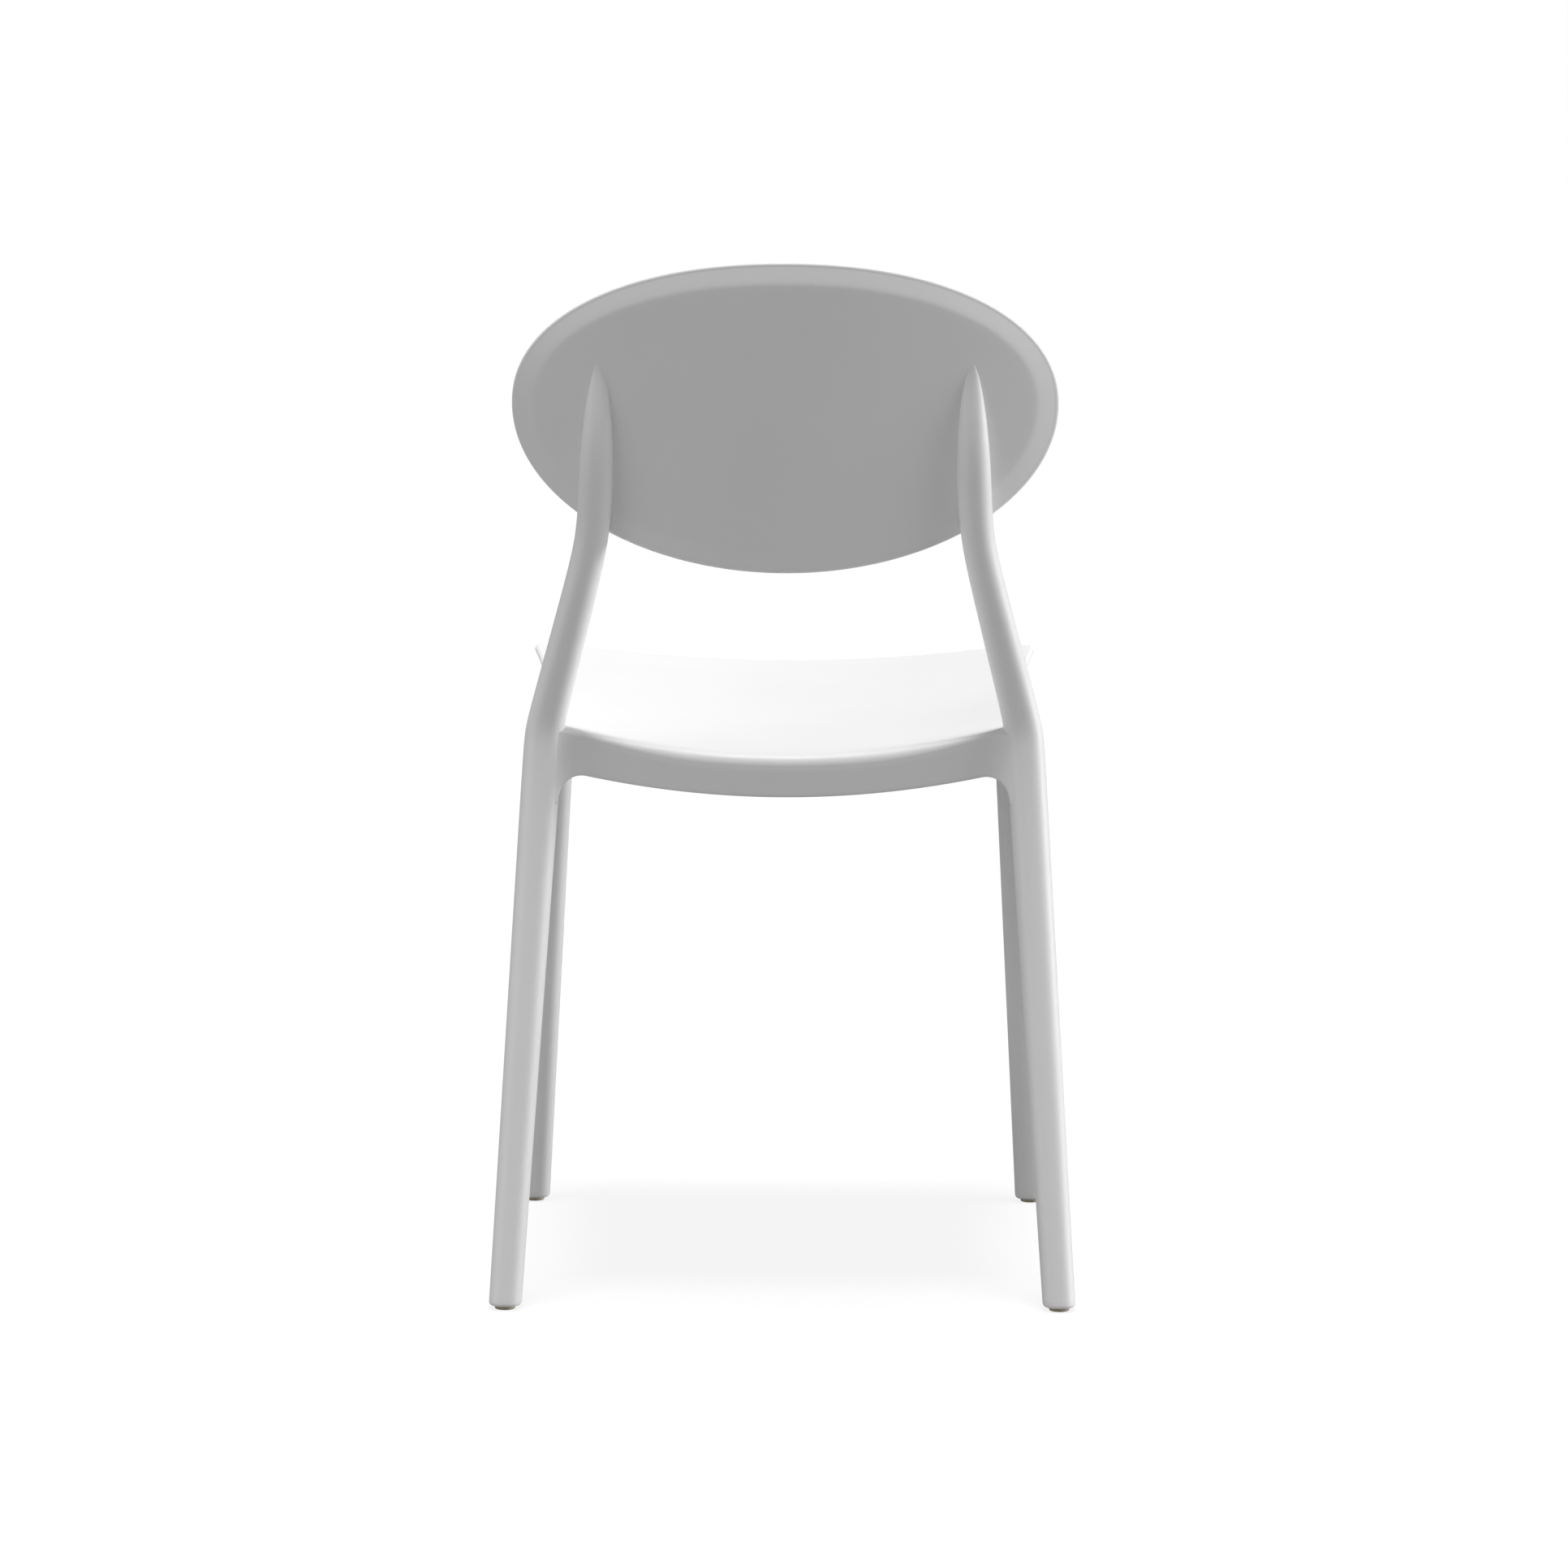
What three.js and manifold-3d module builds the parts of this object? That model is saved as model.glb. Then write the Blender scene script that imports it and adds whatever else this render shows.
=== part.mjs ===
// A stacking chair moulded in one piece, with a push-in glide in each foot.
// Millimetres, +Z up. The sitter faces -Y, and the chair is alike on both sides of x = 0.
// The moulding is given as its natural regions, each a closed body, a fine split apart.
// Heights are above the floor, and y is counted from the seat's rear edge until the last lines.
import * as THREE from 'three';
import { mergeVertices } from 'three/addons/utils/BufferGeometryUtils.js';
import { ParametricGeometry } from 'three/addons/geometries/ParametricGeometry.js';
import Module from 'manifold-3d';

const wasm = await Module();
wasm.setup();

// Seat: a plate dished across its width, rising towards the front.
const SEAT_WIDTH_FRONT = 431;
const SEAT_WIDTH_REAR = 384;
const SEAT_FLARE = 3; // how late the sides flare out to the front width: 1 is straight
const SEAT_DEPTH = 421;
const SEAT_HEIGHT_REAR = 432; // on the centreline, at the rear edge
const SEAT_RISE = 30; // from the rear edge to the front edge
const SEAT_DISH_REAR = 25; // how far the centreline lies below the sides
const SEAT_DISH_FRONT = 17;
const SEAT_HOLLOW = 6; // how far its middle lies below a straight line from rear to front
const SEAT_THICKNESS = 5;
const SEAT_CORNER_RADIUS = 35;

// Apron: the skirt under the seat's edge, which arches down into each leg.
const APRON_INSET = 6; // from the seat's side and front edges
const APRON_THICKNESS = 5;
const APRON_HEIGHT = 34; // from the seat's top surface
const APRON_ARCH_RADIUS = 20;

// Ribs under the seat, running front to back.
const RIB_THICKNESS = 3;
const RIB_DEPTH = 16;
const RIB_SPACING = 62;

// Back: an oval panel that leans rearward and curves forward towards its ends.
const OVERALL_HEIGHT = 820;
const BACK_WIDTH = 425;
const BACK_UPPER_HEIGHT = 112; // above its widest line
const BACK_LOWER_HEIGHT = 131; // below its widest line
const BACK_SETBACK = 50; // of its middle, behind the seat's rear edge
const BACK_LEAN = 0.2; // rearward travel for each unit of height
const BACK_CURVE_RADIUS = 640;
const BACK_THICKNESS = 7;
const RIM_WIDTH = 17; // bevelled band around the rear face
const RIM_DROP = 4.5; // how far the bevel falls forward
const UPPER_OVAL_POWER = 2.15; // squareness of the upper half: 2 is an ellipse

// Rear legs and back posts: one upright on each side, with a knee at the seat and a neck at the back.
const KNEE_HEIGHT = 452;
const KNEE_INSET = 8; // of its centre, in front of the seat's rear edge
const KNEE_DIAMETER = 30.5;
const LEG_STANDOUT = 12; // of each rear leg, past the seat's side
const REAR_FOOT_DIAMETER = 25.6;
const REAR_LEG_SPLAY = 29; // sideways, from the knee to the foot
const REAR_LEG_RAKE = 60; // rearward, from the knee to the foot
const POST_SPACING = 295; // between the two necks
const NECK_DROP = 102; // below the back's widest line
const NECK_DIAMETER = 26.2;
const POST_STANDOFF = 3; // of the neck's centre, behind the panel
const TIP_RISE = 32; // above the back's widest line
const TIP_LENGTH = 100; // over which the post narrows to its point
const TIP_NARROWING = 4; // each side, from the neck to the point
const TIP_SINK = 1.5; // of the point, into the panel
const TIP_FULLNESS = 0.6; // of the point's outline: 0.5 is half an ellipse
const BEND_SOFTNESS = 24; // how gently the uprights bend
const LEG_DEPTH_RATIO = 1.1; // front-to-back depth over width
const LEG_SQUARENESS = 2.4;

// Front legs.
const FRONT_LEG_INSET = 12; // of its outer sides, from the seat's side and front edges
const FRONT_LEG_DIAMETER = 29;
const FRONT_FOOT_DIAMETER = 25;
const FRONT_LEG_SPLAY = 23; // sideways, from the seat to the foot
const FRONT_LEG_RAKE = 8; // forward, from the seat to the foot

// Glides: a disc under each foot with a stem in the foot's socket.
const GLIDE_DIAMETER = 16;
const GLIDE_THICKNESS = 3;
const GLIDE_EDGE = 1; // bevel round the disc's lower edge
const STEM_DIAMETER = 10;
const STEM_LENGTH = 16;
const SOCKET_CLEARANCE = 0.3;

// The split between neighbouring regions, and how finely curved bodies are faceted.
const SPLIT = 0.3;
const AROUND_LEG = 16;
const AROUND_BACK = 48;
const AROUND_GLIDE = 24;
const LEG_STEPS = 9;
const TIP_STEPS = 8;
const SEAT_STEPS = 18;
const CORNER_STEPS = 8;
const FACE_SHARES = [0, 0.3, 0.6, 0.85]; // rings across the panel's faces, from their middle
const APRON_STEPS = 20;
const RIB_STEPS = 10;
const SMALLEST_TIP = 0.02; // share of the post's size kept at its point
const SLAB_REACH = 0.6; // share of the seat's size that its slab is carried to, from its middle

const plastic = new THREE.MeshStandardMaterial({ color: 0xf2f2ef, roughness: 0.5, metalness: 0 });
const glidePlastic = new THREE.MeshStandardMaterial({ color: 0xd9cdb4, roughness: 0.4, metalness: 0 });

// ---- Bodies ----

// Keeps positions only, joins shared vertices, drops faces without area and turns faces outward.
function tidy(geometry) {
  geometry.deleteAttribute('normal');
  geometry.deleteAttribute('uv');
  const merged = mergeVertices(geometry);
  const corners = merged.index.array;
  const kept = [];
  for (let i = 0; i < corners.length; i += 3) {
    const [a, b, c] = corners.slice(i, i + 3);
    if (a !== b && b !== c && c !== a) {
      kept.push(a, b, c);
    }
  }
  merged.setIndex(kept);
  return signedVolume(merged) < 0 ? turnedOut(merged) : merged;
}

function signedVolume(geometry) {
  const place = geometry.attributes.position;
  const corner = (i) => new THREE.Vector3().fromBufferAttribute(place, geometry.index.getX(i));
  let volume = 0;
  for (let i = 0; i < geometry.index.count; i += 3) {
    volume += corner(i).dot(corner(i + 1).cross(corner(i + 2))) / 6;
  }
  return volume;
}

function turnedOut(geometry) {
  geometry.setIndex(Array.from(geometry.index.array).reverse());
  return geometry;
}

// A closed body from rings of points, each ring joined to the next; the first and last rings are
// each a single repeated point.
function ringBody(rings) {
  const around = rings[0].length;
  const surface = (u, v, target) => {
    const ring = rings[Math.round(THREE.MathUtils.clamp(v, 0, 1) * (rings.length - 1))];
    target.copy(ring[Math.round(THREE.MathUtils.clamp(u, 0, 1) * around) % around]);
  };
  return tidy(new ParametricGeometry(surface, around, rings.length - 1));
}

// A closed bar: place(s, t, h) gives the point for shares along its length, thickness and height.
function barBody(steps, place, stepsAcross = 1) {
  const box = new THREE.BoxGeometry(1, 1, 1, steps, stepsAcross, 1);
  const points = box.attributes.position;
  for (let i = 0; i < points.count; i += 1) {
    const target = place(points.getX(i) + 0.5, points.getY(i) + 0.5, points.getZ(i) + 0.5);
    points.setXYZ(i, target.x, target.y, target.z);
  }
  return tidy(box);
}

function toSolid(geometry) {
  const vertProperties = Float32Array.from(geometry.attributes.position.array);
  const triVerts = Uint32Array.from(geometry.index.array);
  return new wasm.Manifold(new wasm.Mesh({ numProp: 3, vertProperties, triVerts }));
}

function fromSolid(solid) {
  const mesh = solid.getMesh();
  const geometry = new THREE.BufferGeometry();
  geometry.setAttribute('position', new THREE.BufferAttribute(mesh.vertProperties, mesh.numProp));
  geometry.setIndex(new THREE.BufferAttribute(mesh.triVerts, 1));
  return geometry;
}

function cut(body, ...tools) {
  return fromSolid(tools.reduce((solid, tool) => solid.subtract(toSolid(tool)), toSolid(body)));
}

function named(name, geometry, material) {
  const mesh = new THREE.Mesh(geometry, material.clone());
  mesh.name = name;
  return mesh;
}

// ---- Shared curves ----

const mix = THREE.MathUtils.lerp;
const signedPower = (value, power) => Math.sign(value) * Math.abs(value) ** power;

// Zero well below a corner, rising one for one well above it, rounded between.
const bend = (distance, softness) => (distance + Math.hypot(distance, softness)) / 2;

// A centreline through corner points, its corners rounded: a point for each height.
function centreline(corners) {
  const slope = (i, axis) => (corners[i + 1][axis] - corners[i][axis]) / (corners[i + 1].z - corners[i].z);
  const coordinate = (axis, z) => {
    let value = corners[0][axis] + slope(0, axis) * (z - corners[0].z);
    for (let i = 1; i < corners.length - 1; i += 1) {
      value += (slope(i, axis) - slope(i - 1, axis)) * bend(z - corners[i].z, BEND_SOFTNESS);
    }
    return value;
  };
  return (z) => new THREE.Vector3(coordinate('x', z), coordinate('y', z), z);
}

// An upright body of level slices: centre(z) and width(z) between a lowest and a highest height.
function uprightBody(centre, width, heights, grow = 0) {
  const slice = (z, share) => {
    const middle = centre(z);
    const half = share * (width(z) / 2 + grow);
    return Array.from({ length: AROUND_LEG }, (_, i) => {
      const turn = (2 * Math.PI * i) / AROUND_LEG;
      const x = half * signedPower(Math.cos(turn), 2 / LEG_SQUARENESS);
      const y = half * LEG_DEPTH_RATIO * signedPower(Math.sin(turn), 2 / LEG_SQUARENESS);
      return new THREE.Vector3(middle.x + x, middle.y + y, z);
    });
  };
  const slices = heights.map((z) => slice(z, 1));
  return ringBody([slice(heights[0], 0), ...slices, slice(heights.at(-1), 0)]);
}

const steps = (from, to, count) => Array.from({ length: count + 1 }, (_, i) => mix(from, to, i / count));

// ---- Seat surface ----

// Share of the way from the seat's rear edge (0) to its front edge (1).
const forwardShare = (y) => -y / SEAT_DEPTH;
const seatHalfWidth = (y) => mix(SEAT_WIDTH_REAR, SEAT_WIDTH_FRONT, forwardShare(y) ** SEAT_FLARE) / 2;

// Top of the seat: a rising, slightly hollow centreline with sides that curve up from it.
function seatTop(x, y) {
  const share = forwardShare(y);
  const dish = mix(SEAT_DISH_REAR, SEAT_DISH_FRONT, share);
  const rise = SEAT_RISE * share - 4 * SEAT_HOLLOW * share * (1 - share);
  return SEAT_HEIGHT_REAR + rise + dish * (x / seatHalfWidth(y)) ** 2;
}

// ---- Back surface ----

const BACK_HEIGHT = OVERALL_HEIGHT - BACK_UPPER_HEIGHT; // of its widest line

// Middle of the panel's thickness, as y for a place on the panel.
function backMiddle(x, z) {
  return BACK_SETBACK + BACK_LEAN * (z - BACK_HEIGHT) - x ** 2 / (2 * BACK_CURVE_RADIUS);
}

const backRear = (x, z) => backMiddle(x, z) + BACK_THICKNESS / 2;

// A point of the oval outline brought in by an inset, as seen square on.
function ovalPoint(turn, inset) {
  const upper = Math.sin(turn) > 0;
  const power = upper ? 2 / UPPER_OVAL_POWER : 1;
  const half = (upper ? BACK_UPPER_HEIGHT : BACK_LOWER_HEIGHT) - inset;
  const x = (BACK_WIDTH / 2 - inset) * signedPower(Math.cos(turn), power);
  return { x, z: half * signedPower(Math.sin(turn), power) };
}

// The panel with its bevelled rear rim: rings from the rear face's middle, over the edge, to the
// front face's middle. The offsets grow it into a cutting tool.
function backBody(outward = 0, rearward = 0, forward = 0) {
  const ring = (inset, share, offset) => Array.from({ length: AROUND_BACK }, (_, i) => {
    const flat = ovalPoint((2 * Math.PI * i) / AROUND_BACK, inset);
    const x = flat.x * share;
    const z = BACK_HEIGHT + flat.z * share;
    return new THREE.Vector3(x, backMiddle(x, z) + offset, z);
  });
  const rear = BACK_THICKNESS / 2 + rearward;
  const front = -BACK_THICKNESS / 2 - forward;
  return ringBody([
    ...FACE_SHARES.map((share) => ring(RIM_WIDTH, share, rear)),
    ring(RIM_WIDTH, 1, rear),
    ring(-outward, 1, rear - RIM_DROP),
    ring(-outward, 1, front),
    ...FACE_SHARES.toReversed().map((share) => ring(RIM_WIDTH, share, front)),
  ]);
}

// ---- Uprights ----

const NECK_HEIGHT = BACK_HEIGHT - NECK_DROP;
const TIP_HEIGHT = BACK_HEIGHT + TIP_RISE;
const FOOT_HEIGHT = GLIDE_THICKNESS + SPLIT;

// Centreline of one rear leg and back post; side is 1 on the left and -1 on the right.
function rearCentre(side) {
  const kneeX = side * ((SEAT_WIDTH_REAR - KNEE_DIAMETER) / 2 + LEG_STANDOUT);
  const neckX = (side * POST_SPACING) / 2;
  const tipX = neckX - side * TIP_NARROWING;
  return centreline([
    new THREE.Vector3(kneeX + side * REAR_LEG_SPLAY, REAR_LEG_RAKE - KNEE_INSET, 0),
    new THREE.Vector3(kneeX, -KNEE_INSET, KNEE_HEIGHT),
    new THREE.Vector3(neckX, backRear(neckX, NECK_HEIGHT) + POST_STANDOFF, NECK_HEIGHT),
    new THREE.Vector3(tipX, backRear(tipX, TIP_HEIGHT) - TIP_SINK, TIP_HEIGHT),
  ]);
}

// Width of one rear upright at a height: widest at the knee, and drawn to a point at the tip.
function rearWidth(z) {
  if (z < KNEE_HEIGHT) {
    return mix(REAR_FOOT_DIAMETER, KNEE_DIAMETER, z / KNEE_HEIGHT);
  }
  const share = Math.min((z - KNEE_HEIGHT) / (NECK_HEIGHT - KNEE_HEIGHT), 1);
  const rise = Math.max(z - (TIP_HEIGHT - TIP_LENGTH), 0) / TIP_LENGTH;
  const point = Math.max((1 - rise ** 2) ** TIP_FULLNESS, SMALLEST_TIP);
  return mix(KNEE_DIAMETER, NECK_DIAMETER, share) * point;
}

function frontCentre(side) {
  const topY = FRONT_LEG_INSET + (FRONT_LEG_DIAMETER * LEG_DEPTH_RATIO) / 2 - SEAT_DEPTH;
  const topX = side * (SEAT_WIDTH_FRONT / 2 - FRONT_LEG_INSET - FRONT_LEG_DIAMETER / 2);
  return centreline([
    new THREE.Vector3(topX + side * FRONT_LEG_SPLAY, topY - FRONT_LEG_RAKE, 0),
    new THREE.Vector3(topX, topY, seatTop(topX, topY)),
  ]);
}

const frontTop = seatTop(frontCentre(1)(SEAT_HEIGHT_REAR).x, -SEAT_DEPTH);
const frontWidth = (z) => mix(FRONT_FOOT_DIAMETER, FRONT_LEG_DIAMETER, z / frontTop);

const footHeights = steps(FOOT_HEIGHT, KNEE_HEIGHT, LEG_STEPS);
const postHeights = [
  ...steps(KNEE_HEIGHT, TIP_HEIGHT - TIP_LENGTH, LEG_STEPS),
  ...steps(TIP_HEIGHT - TIP_LENGTH, TIP_HEIGHT, TIP_STEPS).slice(1),
];
const postHeightsAboveSplit = [KNEE_HEIGHT + SPLIT, ...postHeights.slice(1)];

// The whole upright or front leg, grown by the split, for cutting what meets it.
const uprightHeights = [...footHeights, ...postHeights.slice(1)];
const frontLegHeights = steps(FOOT_HEIGHT, frontTop, LEG_STEPS);
const rearTool = (side) => uprightBody(rearCentre(side), rearWidth, uprightHeights, SPLIT);
const frontTool = (side) => uprightBody(frontCentre(side), frontWidth, frontLegHeights, SPLIT);
const legTools = [rearTool(1), rearTool(-1), frontTool(1), frontTool(-1)];

// ---- Sub-parts ----

// The socket that takes a glide's stem, upright at the foot's centre.
function socketBody(centre) {
  const radius = STEM_DIAMETER / 2 + SOCKET_CLEARANCE;
  const depth = STEM_LENGTH + SOCKET_CLEARANCE;
  const socket = new THREE.CylinderGeometry(radius, radius, 2 * depth, AROUND_GLIDE);
  const foot = centre(FOOT_HEIGHT);
  socket.rotateX(Math.PI / 2);
  socket.translate(foot.x, foot.y, foot.z);
  return tidy(socket);
}

// A slab that follows the seat's top surface, from one offset to another, past the seat's edges.
function seatSlab(lowerOffset, upperOffset) {
  return barBody(SEAT_STEPS, (s, t, h) => {
    const x = mix(-SLAB_REACH, SLAB_REACH, s) * SEAT_WIDTH_FRONT;
    const y = (mix(-SLAB_REACH, SLAB_REACH, t) - 0.5) * SEAT_DEPTH;
    return new THREE.Vector3(x, y, seatTop(x, y) + mix(lowerOffset, upperOffset, h));
  }, SEAT_STEPS);
}

// The seat's outline from above, extruded through the plate's whole height.
function seatOutlineBody() {
  const cornerY = SEAT_CORNER_RADIUS - SEAT_DEPTH;
  const front = SEAT_WIDTH_FRONT / 2;
  const side = steps(0, cornerY, SEAT_STEPS);
  const outline = new THREE.Shape();
  outline.moveTo(-seatHalfWidth(0), 0);
  side.forEach((y) => outline.lineTo(seatHalfWidth(y), y));
  outline.quadraticCurveTo(front, -SEAT_DEPTH, front - SEAT_CORNER_RADIUS, -SEAT_DEPTH);
  outline.lineTo(SEAT_CORNER_RADIUS - front, -SEAT_DEPTH);
  outline.quadraticCurveTo(-front, -SEAT_DEPTH, -seatHalfWidth(cornerY), cornerY);
  side.slice(1, -1).reverse().forEach((y) => outline.lineTo(-seatHalfWidth(y), y));
  const options = { depth: OVERALL_HEIGHT, bevelEnabled: false, curveSegments: CORNER_STEPS };
  return tidy(new THREE.ExtrudeGeometry(outline, options));
}

function seatShell() {
  const trimmed = toSolid(seatSlab(-SEAT_THICKNESS, 0)).intersect(toSolid(seatOutlineBody()));
  return cut(fromSolid(trimmed), rearTool(1), rearTool(-1));
}

// Depth of the apron below the seat's top at a distance from each end, where it arches into a leg.
function apronDepth(distance) {
  const gap = Math.min(distance, APRON_ARCH_RADIUS);
  const fall = APRON_ARCH_RADIUS - Math.sqrt(APRON_ARCH_RADIUS ** 2 - (APRON_ARCH_RADIUS - gap) ** 2);
  return APRON_HEIGHT + fall;
}

// An apron between two legs: route(s) walks along its outer face from the middle of one leg to the
// middle of the next, and inward points into the chair.
function apronBody(route, inward, startClear, endClear) {
  const length = route(0).distanceTo(route(1));
  const body = barBody(APRON_STEPS, (s, t, h) => {
    const eased = (1 - Math.cos(Math.PI * s)) / 2;
    const place = route(eased).addScaledVector(inward, t * APRON_THICKNESS);
    const fromStart = Math.max(eased * length - startClear, 0);
    const fromEnd = Math.max((1 - eased) * length - endClear, 0);
    const top = seatTop(place.x, place.y);
    const depth = apronDepth(Math.min(fromStart, fromEnd));
    return place.setZ(mix(top - depth, top - SEAT_THICKNESS - SPLIT, h));
  });
  return cut(body, ...legTools);
}

function apronRear() {
  const reach = rearCentre(1)(KNEE_HEIGHT).x;
  const route = (s) => new THREE.Vector3(mix(-reach, reach, s), 0, 0);
  return apronBody(route, new THREE.Vector3(0, -1, 0), KNEE_DIAMETER / 2, KNEE_DIAMETER / 2);
}

function apronFront() {
  const reach = frontCentre(1)(frontTop).x;
  const y = APRON_INSET + FRONT_LEG_INSET - SEAT_DEPTH;
  const route = (s) => new THREE.Vector3(mix(-reach, reach, s), y, 0);
  return apronBody(route, new THREE.Vector3(0, 1, 0), FRONT_LEG_DIAMETER / 2, FRONT_LEG_DIAMETER / 2);
}

function apronSide(side) {
  const rearY = rearCentre(side)(KNEE_HEIGHT).y;
  const frontY = frontCentre(side)(frontTop).y;
  const route = (s) => {
    const y = mix(rearY, frontY, s);
    return new THREE.Vector3(side * (seatHalfWidth(y) - APRON_INSET), y, 0);
  };
  const rearClear = (KNEE_DIAMETER * LEG_DEPTH_RATIO) / 2;
  const frontClear = (FRONT_LEG_DIAMETER * LEG_DEPTH_RATIO) / 2;
  return apronBody(route, new THREE.Vector3(-side, 0, 0), rearClear, frontClear);
}

function seatRib(place) {
  const rear = -APRON_THICKNESS - SPLIT;
  const front = APRON_INSET + FRONT_LEG_INSET + APRON_THICKNESS + SPLIT - SEAT_DEPTH;
  return barBody(RIB_STEPS, (s, t, h) => {
    const x = place * RIB_SPACING + (t - 0.5) * RIB_THICKNESS;
    const y = mix(rear, front, s);
    const under = seatTop(x, y) - SEAT_THICKNESS - SPLIT;
    return new THREE.Vector3(x, y, mix(under - RIB_DEPTH, under, h));
  });
}

function rearLeg(side) {
  const centre = rearCentre(side);
  return cut(uprightBody(centre, rearWidth, footHeights), socketBody(centre));
}

// The post is cut by the panel and by all that lies in front of it.
function backPost(side) {
  const post = uprightBody(rearCentre(side), rearWidth, postHeightsAboveSplit);
  const frontReach = 2 * KNEE_DIAMETER;
  return cut(post, backBody(SPLIT, SPLIT, frontReach));
}

function frontLeg(side) {
  const centre = frontCentre(side);
  const leg = uprightBody(centre, frontWidth, frontLegHeights);
  return cut(leg, seatSlab(-SEAT_THICKNESS - SPLIT, APRON_HEIGHT), socketBody(centre));
}

// A disc with a bevelled lower edge, and its stem; the disc's underside lies on the floor.
function glide() {
  const disc = GLIDE_DIAMETER / 2;
  const stem = STEM_DIAMETER / 2;
  const profile = [
    new THREE.Vector2(0, 0),
    new THREE.Vector2(disc - GLIDE_EDGE, 0),
    new THREE.Vector2(disc, GLIDE_EDGE),
    new THREE.Vector2(disc, GLIDE_THICKNESS),
    new THREE.Vector2(stem, GLIDE_THICKNESS),
    new THREE.Vector2(stem, FOOT_HEIGHT + STEM_LENGTH - GLIDE_EDGE),
    new THREE.Vector2(stem - GLIDE_EDGE, FOOT_HEIGHT + STEM_LENGTH),
    new THREE.Vector2(0, FOOT_HEIGHT + STEM_LENGTH),
  ];
  const body = new THREE.LatheGeometry(profile, AROUND_GLIDE);
  body.rotateX(Math.PI / 2);
  return tidy(body);
}

// ---- Assembly ----

const moulding = new THREE.Group();
moulding.add(named('seat_shell', seatShell(), plastic));
moulding.add(named('apron_rear', apronRear(), plastic));
moulding.add(named('apron_front', apronFront(), plastic));
moulding.add(named('backrest_panel', backBody(), plastic));

const ribPlaces = { outer_right: -2, inner_right: -1, centre: 0, inner_left: 1, outer_left: 2 };
for (const [place, step] of Object.entries(ribPlaces)) {
  moulding.add(named(`seat_rib_${place}`, seatRib(step), plastic));
}

const glides = new THREE.Group();
for (const [side, sign] of [['left', 1], ['right', -1]]) {
  moulding.add(named(`apron_${side}`, apronSide(sign), plastic));
  moulding.add(named(`rear_leg_${side}`, rearLeg(sign), plastic));
  moulding.add(named(`back_post_${side}`, backPost(sign), plastic));
  moulding.add(named(`front_leg_${side}`, frontLeg(sign), plastic));
  for (const [end, centre] of [['front', frontCentre(sign)], ['rear', rearCentre(sign)]]) {
    const foot = centre(FOOT_HEIGHT);
    const piece = named(`glide_${end}_${side}`, glide(), glidePlastic);
    piece.position.set(foot.x, foot.y, 0);
    glides.add(piece);
  }
}

// The origin is on the floor, under the middle of the chair's overall length.
const chair = new THREE.Group();
chair.add(moulding, glides);
chair.updateMatrixWorld(true);
const extent = new THREE.Box3().setFromObject(chair);
chair.position.y = -(extent.min.y + extent.max.y) / 2;

export default chair;
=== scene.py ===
import math

import bpy
import numpy as np
from mathutils import Euler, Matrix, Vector


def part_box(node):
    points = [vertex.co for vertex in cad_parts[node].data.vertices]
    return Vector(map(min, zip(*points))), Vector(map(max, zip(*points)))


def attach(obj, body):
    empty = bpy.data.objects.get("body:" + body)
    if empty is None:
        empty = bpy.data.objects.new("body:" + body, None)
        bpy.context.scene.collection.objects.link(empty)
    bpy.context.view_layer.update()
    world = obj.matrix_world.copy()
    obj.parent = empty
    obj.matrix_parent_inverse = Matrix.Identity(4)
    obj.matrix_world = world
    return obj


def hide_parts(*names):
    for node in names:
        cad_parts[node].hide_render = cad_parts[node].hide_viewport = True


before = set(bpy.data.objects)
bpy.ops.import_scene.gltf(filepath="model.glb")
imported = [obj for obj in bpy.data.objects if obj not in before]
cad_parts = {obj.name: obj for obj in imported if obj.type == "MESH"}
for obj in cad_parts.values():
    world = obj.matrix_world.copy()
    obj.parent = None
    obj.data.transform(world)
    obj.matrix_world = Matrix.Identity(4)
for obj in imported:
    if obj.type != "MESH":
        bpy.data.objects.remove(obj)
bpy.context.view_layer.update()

MM = 0.001


def low(node):
    """Lowest corner of a CAD node's box."""
    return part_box(node)[0]


def high(node):
    """Highest corner of a CAD node's box."""
    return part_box(node)[1]


def middle(node):
    """Middle of a CAD node's box."""
    return (low(node) + high(node)) / 2


# ---- Sizes ----

# Seat, with y counted from its rear edge
SEAT_REAR_Y = high("seat_shell").y
SEAT_DEPTH = SEAT_REAR_Y - low("seat_shell").y
SEAT_WIDTH_FRONT = 431 * MM
SEAT_WIDTH_REAR = 384 * MM
SEAT_FLARE = 3
SEAT_HEIGHT_REAR = 432 * MM
SEAT_RISE = 31.5 * MM
SEAT_HOLLOW = 6 * MM
SEAT_DISH_REAR = 25 * MM
SEAT_DISH_FRONT = 17 * MM
SEAT_THICKNESS = 5 * MM
SEAT_CORNER = 35 * MM
SEAT_REAR_CORNER = 10 * MM

# Edge of the seat and the apron below it
ROLL_REAR = 9 * MM
ROLL_AT_POSTS = 3 * MM
ROLL_FADE = 110 * MM
ROLL_SIDE = 3 * MM
ROLL_FRONT = 5 * MM
NOSE_UNDERCUT = 3.5 * MM
APRON_DEPTH = 34 * MM
APRON_WALL = 5 * MM
APRON_INSET_SIDE = 6 * MM
APRON_INSET_CORNER = 12 * MM
APRON_INSET_FRONT = 17 * MM
APRON_DRAFT = 1 * MM
ARCH_REACH = 22 * MM
ARCH_FALL = 27 * MM
FLARE_REACH = 34 * MM
FLARE_POWER = 3
FLARE_SINK = 0.5 * MM
ARCH_FOOT_Z = 392 * MM
UNDERSIDE_FILLET = 3 * MM

# Where the edge's profile changes from rear to sides to front: by the way it faces, and by the share
# of the seat's depth
FACING_FROM = 0.2
FACING_TO = 0.9
INSET_FROM = 0.4
INSET_TO = 0.9

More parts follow.
